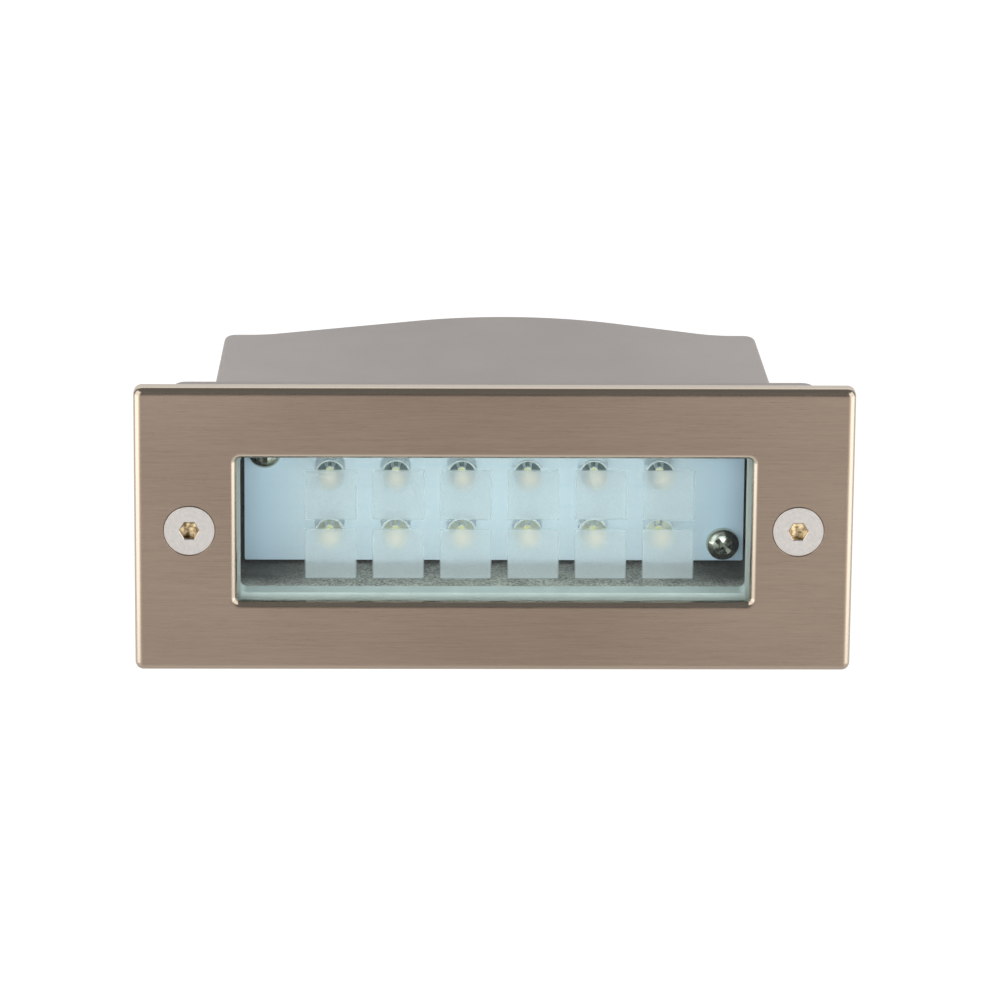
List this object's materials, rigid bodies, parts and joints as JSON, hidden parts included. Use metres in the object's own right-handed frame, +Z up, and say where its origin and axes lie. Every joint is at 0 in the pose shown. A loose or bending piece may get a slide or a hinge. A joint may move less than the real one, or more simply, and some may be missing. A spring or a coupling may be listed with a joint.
{
  "type": "recessed outdoor wall spotlight",
  "caption": "Rectangular recessed wall light: brushed steel cover with a glass window over rows of LEDs, a cast rear housing with a bulging back, and a cable gland.",
  "frame": {"origin": "middle of the front cover, in the plane of its rear rim, which is the wall's face", "axes": "+X to the right seen from the front, +Y into the wall, +Z up"},
  "size_m": [0.17, 0.1, 0.07],
  "materials": {
    "brushed_stainless": "stainless steel brushed along its length, warm grey",
    "screw_steel": "plain stainless steel, satin turned",
    "retainer_nylon": "natural nylon",
    "window_glass": "clear toughened glass, frosted squares on its rear face",
    "gasket_silicone": "translucent silicone rubber, greenish white",
    "cast_housing": "die-cast aluminium, fine satin blast",
    "tray_coating": "grainy dark grey metal",
    "board_white": "white solder resist over glass fibre board",
    "led_clear": "clear epoxy",
    "lead_metal": "silver plated steel",
    "phosphor": "yellow phosphor",
    "zinc_steel": "zinc plated steel",
    "black_rubber": "black rubber",
    "wire_black": "black insulation",
    "wire_red": "red insulation",
    "driver_green": "green solder resist",
    "film_case": "yellow potted case",
    "capacitor_sleeve": "dark shrunk sleeve",
    "rectifier_case": "black moulded case",
    "resistor_coat": "beige lacquer",
    "terminal_case": "green moulded case",
    "earth_brass": "plain brass",
    "nickel_brass": "nickel plated brass"
  },
  "bodies": {
    "housing": {"board_screws": "zinc_steel", "bridge_rectifier": "rectifier_case", "driver_board": "driver_green", "driver_resistors": "resistor_coat", "driver_screws": "zinc_steel", "earth_screw": "earth_brass", "earth_washer": "earth_brass", "film_capacitor": "film_case", "gland_body": "nickel_brass", "gland_locknut": "nickel_brass", "gland_seal": "black_rubber", "gland_washer": "black_rubber", "glass_gasket": "gasket_silicone", "glass_pane": "window_glass", "housing": "cast_housing", "led_board": "board_white", "led_leads_01": "lead_metal", "led_leads_02": "lead_metal", "led_leads_03": "lead_metal", "led_leads_04": "lead_metal", "led_leads_05": "lead_metal", "led_leads_06": "lead_metal", "led_leads_07": "lead_metal", "led_leads_08": "lead_metal", "led_leads_09": "lead_metal", "led_leads_10": "lead_metal", "led_leads_11": "lead_metal", "led_leads_12": "lead_metal", "led_lens_01": "led_clear", "led_lens_02": "led_clear", "led_lens_03": "led_clear", "led_lens_04": "led_clear", "led_lens_05": "led_clear", "led_lens_06": "led_clear", "led_lens_07": "led_clear", "led_lens_08": "led_clear", "led_lens_09": "led_clear", "led_lens_10": "led_clear", "led_lens_11": "led_clear", "led_lens_12": "led_clear", "led_phosphors": "phosphor", "led_tray": "tray_coating", "led_wire_negative": "wire_black", "led_wire_positive": "wire_red", "smoothing_capacitor": "capacitor_sleeve", "terminal_block": "terminal_case", "terminal_screws": "zinc_steel", "tray_grommet": "black_rubber"},
    "front_cover": {"front_cover": "brushed_stainless"},
    "left_retainer": {"screw_retainer_left": "retainer_nylon"},
    "left_screw": {"cover_screw_left": "screw_steel"},
    "right_retainer": {"screw_retainer_right": "retainer_nylon"},
    "right_screw": {"cover_screw_right": "screw_steel"},
    "gland_ring": {"gland_ring": "retainer_nylon"},
    "gland_nut": {"gland_nut": "nickel_brass"}
  },
  "joints": [
    {"name": "cover_lift", "type": "slide", "parent": "housing", "child": "front_cover", "axis": [0, -1, 0], "range_m": [0, 0.06]},
    {"name": "left_screw_rise", "type": "slide", "parent": "front_cover", "child": "left_retainer", "axis": [0, -1, 0], "range_m": [0, 0.0062]},
    {"name": "left_screw_turn", "type": "hinge", "parent": "left_retainer", "child": "left_screw", "pos_m": [-0.072, -0.004, 0], "axis": [0, -1, 0], "range_deg": [0, 2268]},
    {"name": "right_screw_rise", "type": "slide", "parent": "front_cover", "child": "right_retainer", "axis": [0, -1, 0], "range_m": [0, 0.0062]},
    {"name": "right_screw_turn", "type": "hinge", "parent": "right_retainer", "child": "right_screw", "pos_m": [0.072, -0.004, 0], "axis": [0, -1, 0], "range_deg": [0, 2268]},
    {"name": "gland_nut_rise", "type": "slide", "parent": "housing", "child": "gland_ring", "axis": [0, 1, 0], "range_m": [0, 0.0046]},
    {"name": "gland_nut_turn", "type": "hinge", "parent": "gland_ring", "child": "gland_nut", "pos_m": [0.007, 0.09, 0], "axis": [0, 1, 0], "range_deg": [0, 1080]}
  ],
  "couplings": [
    {"joint": "left_screw_turn", "follows": "left_screw_rise", "rad_per_m": 6283.2},
    {"joint": "right_screw_turn", "follows": "right_screw_rise", "rad_per_m": 6283.2},
    {"joint": "gland_nut_rise", "follows": "gland_nut_turn", "m_per_rad": 0.00023873}
  ]
}
